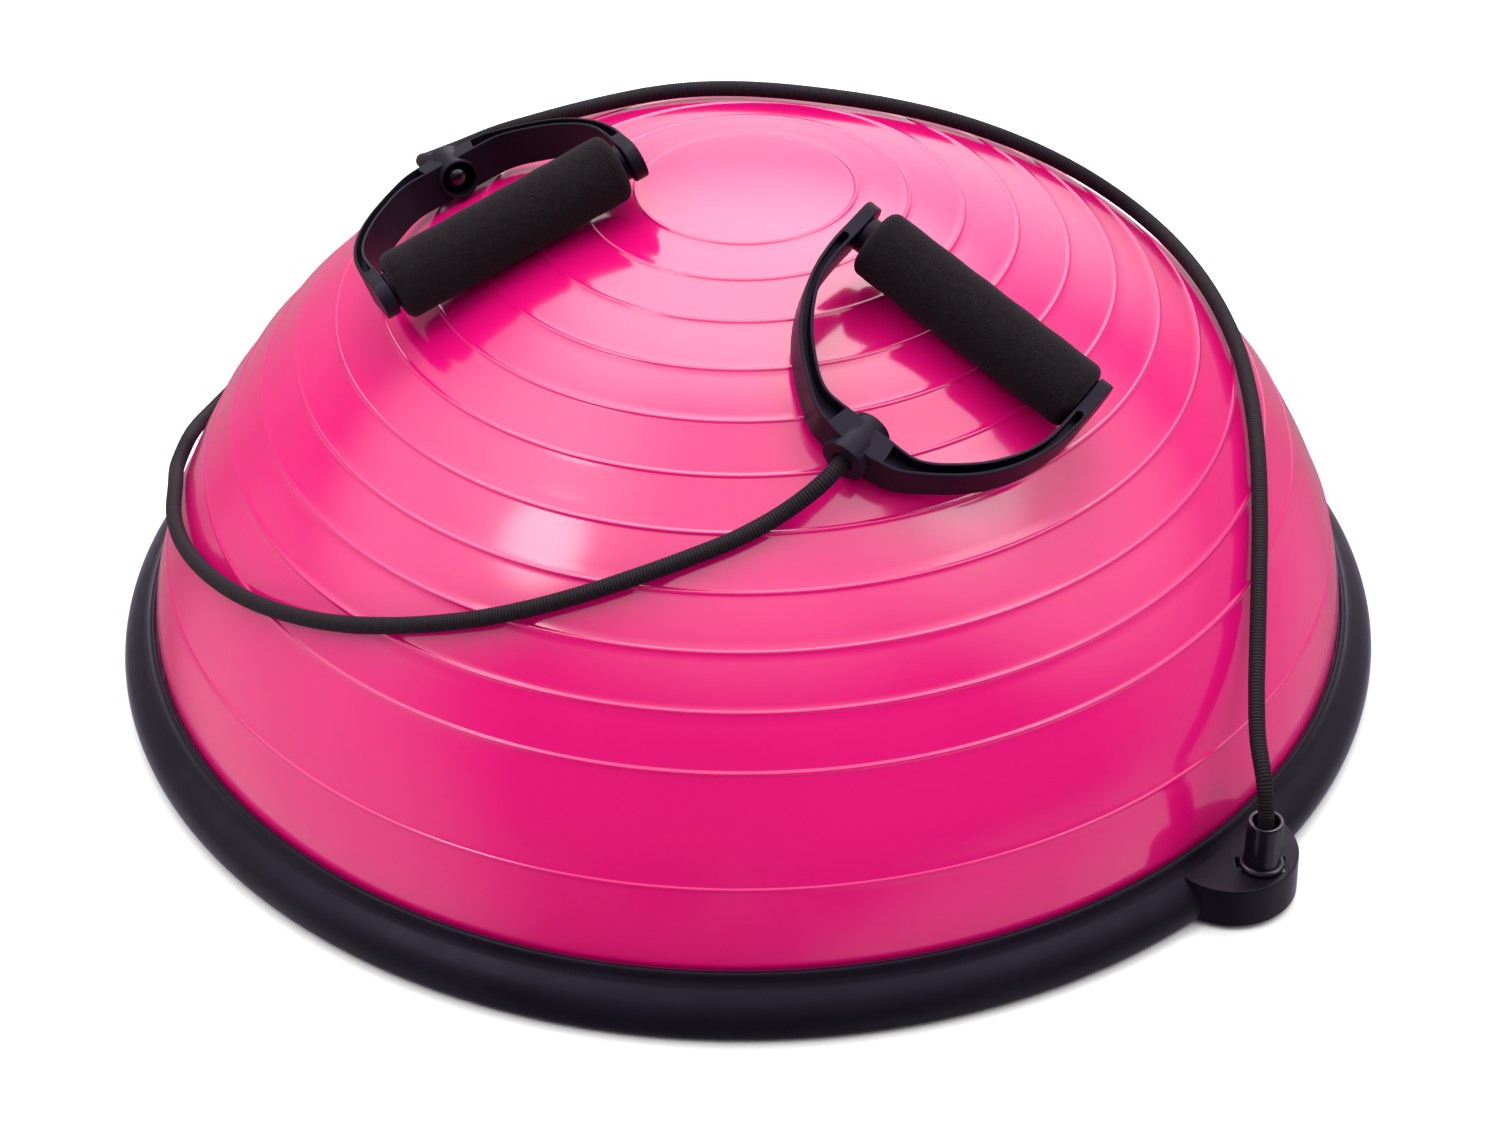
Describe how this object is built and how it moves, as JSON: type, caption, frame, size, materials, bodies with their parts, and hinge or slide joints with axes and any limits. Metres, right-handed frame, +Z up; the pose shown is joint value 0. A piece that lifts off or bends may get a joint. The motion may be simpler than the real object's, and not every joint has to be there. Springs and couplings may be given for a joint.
{
  "type": "balance dome trainer",
  "caption": "Inflated half-ball on a round moulded base, with elastic cords that plug into lugs on the rim and end in D-shaped handles with foam grips.",
  "frame": {"origin": "on the floor under the centre of the base", "axes": "+Z up through the dome's axis of symmetry; the first cord anchor is in the +X -Y quarter, and the -Y side is the front"},
  "size_m": [0.619, 0.619, 0.2794],
  "materials": {
    "base": "satin moulded",
    "foot_rubber": "matte",
    "screw_steel": "zinc plated",
    "dome_pvc": "glossy soft vinyl",
    "valve": "plain",
    "anchor": "semi-gloss",
    "stop": "glossy",
    "cord_sleeve": "woven sleeve",
    "handle": "satin moulded",
    "foam": "matte closed-cell foam"
  },
  "bodies": {
    "base_and_dome": {"base_ring": "base", "base_plate": "base", "rubber_foot_1": "foot_rubber", "rubber_foot_2": "foot_rubber", "rubber_foot_3": "foot_rubber", "rubber_foot_4": "foot_rubber", "rubber_foot_5": "foot_rubber", "rubber_foot_6": "foot_rubber", "base_screw_1": "screw_steel", "base_screw_2": "screw_steel", "base_screw_3": "screw_steel", "base_screw_4": "screw_steel", "base_screw_5": "screw_steel", "base_screw_6": "screw_steel", "base_screw_7": "screw_steel", "base_screw_8": "screw_steel", "dome_bladder": "dome_pvc", "valve_seat": "valve", "cord_1": "cord_sleeve", "cord_2": "cord_sleeve"},
    "valve_plug": {"valve_plug": "valve"},
    "anchor_1": {"anchor_plug_1": "anchor", "anchor_stop_1": "stop"},
    "handle_1": {"handle_yoke_1": "handle", "hub_stop_1": "stop"},
    "grip_1": {"grip_core_1": "handle", "grip_foam_1": "foam"},
    "anchor_2": {"anchor_plug_2": "anchor", "anchor_stop_2": "stop"},
    "handle_2": {"handle_yoke_2": "handle", "hub_stop_2": "stop"},
    "grip_2": {"grip_core_2": "handle", "grip_foam_2": "foam"}
  },
  "joints": [
    {"name": "handle_1_lift", "type": "hinge", "parent": "base_and_dome", "child": "handle_1", "pos_m": [-0.13997, 0.0472, 0.22824], "axis": [-0.8635, -0.3987, -0.3089], "range_deg": [0, 75], "deforming": ["cord_1"]},
    {"name": "grip_1_spin", "type": "hinge", "parent": "handle_1", "child": "grip_1", "pos_m": [-0.10568, -0.04201, 0.24754], "axis": [0.8635, 0.3987, 0.3089], "continuous": true},
    {"name": "handle_2_lift", "type": "hinge", "parent": "base_and_dome", "child": "handle_2", "pos_m": [0.04054, -0.17864, 0.21137], "axis": [0.7726, -0.4704, -0.4264], "range_deg": [0, 75], "deforming": ["cord_2"]},
    {"name": "grip_2_spin", "type": "hinge", "parent": "handle_2", "child": "grip_2", "pos_m": [0.0993, -0.10507, 0.23667], "axis": [-0.7726, 0.4704, 0.4264], "continuous": true},
    {"name": "anchor_1_turn", "type": "hinge", "parent": "base_and_dome", "child": "anchor_1", "pos_m": [0.2268, -0.2229, 0.03], "axis": [0, 0, 1], "range_deg": [0, 90], "deforming": ["cord_1"]},
    {"name": "anchor_2_turn", "type": "hinge", "parent": "base_and_dome", "child": "anchor_2", "pos_m": [-0.2268, 0.2229, 0.03], "axis": [0, 0, 1], "range_deg": [0, 90], "deforming": ["cord_2"]},
    {"name": "valve_plug_pull", "type": "slide", "parent": "base_and_dome", "child": "valve_plug", "axis": [0, 0, -1], "range_m": [0, 0.016]}
  ]
}
